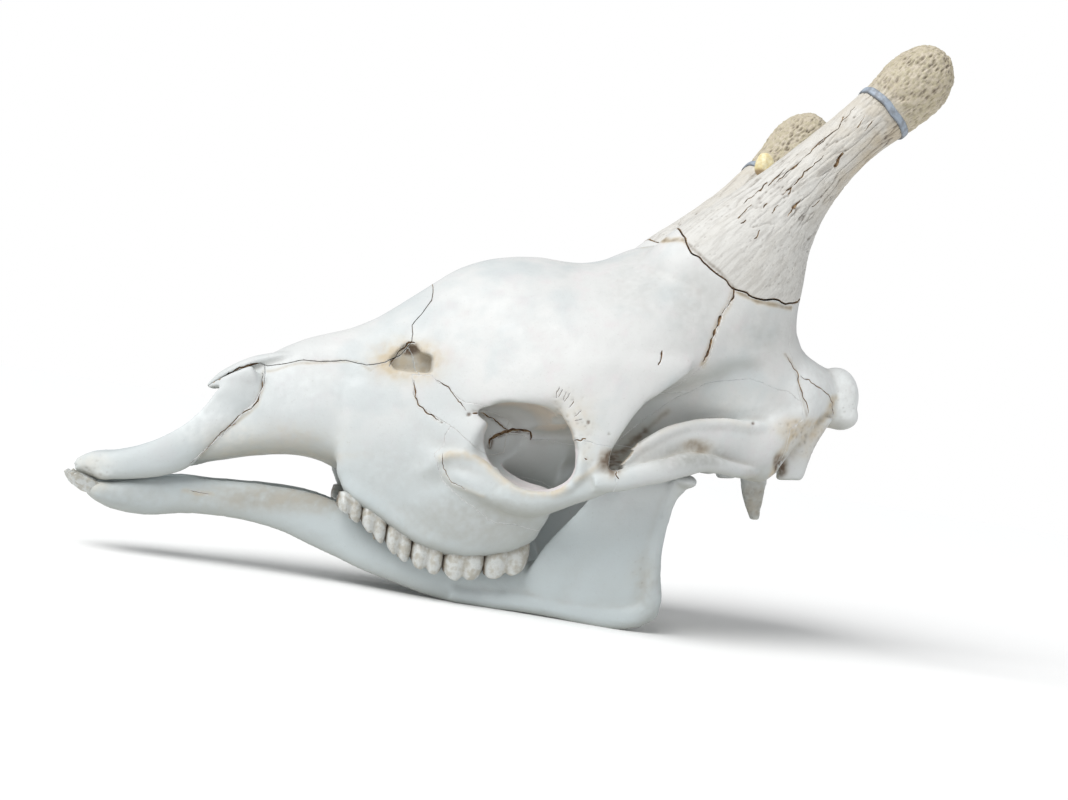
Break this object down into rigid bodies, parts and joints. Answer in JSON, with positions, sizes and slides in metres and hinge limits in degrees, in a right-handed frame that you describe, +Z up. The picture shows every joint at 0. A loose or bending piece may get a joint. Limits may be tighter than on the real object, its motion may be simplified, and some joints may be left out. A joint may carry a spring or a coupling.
{
  "type": "giraffe skull",
  "caption": "Life-size skull of a male giraffe with both horns and the lower jaw, resting on the lower borders of the jaw.",
  "frame": {"origin": "middle of the whole skull's box, on the surface that it rests on", "axes": "+X from the muzzle to the back of the head, +Y to the animal's right side, +Z up"},
  "size_m": [0.6769, 0.2531, 0.5342],
  "materials": {
    "bone": "cleaned and sun-bleached bone, matt",
    "horn_bone": "rough, grooved and pitted bone, matt",
    "wire": "dull blue-grey strip",
    "resin": "yellowed hard glue"
  },
  "bodies": {
    "root": {"band_left": "wire", "band_lump": "resin", "band_right": "wire", "frontal": "bone", "lacrimal_left": "bone", "lacrimal_right": "bone", "mandible_left": "bone", "mandible_right": "bone", "maxilla_left": "bone", "maxilla_right": "bone", "nasal_left": "bone", "nasal_right": "bone", "occipital": "bone", "ossicone_left": "horn_bone", "ossicone_right": "horn_bone", "parietal": "bone", "premaxilla_left": "bone", "premaxilla_right": "bone", "skull_base": "bone", "temporal_left": "bone", "temporal_right": "bone", "zygomatic_left": "bone", "zygomatic_right": "bone"}
  },
  "joints": []
}
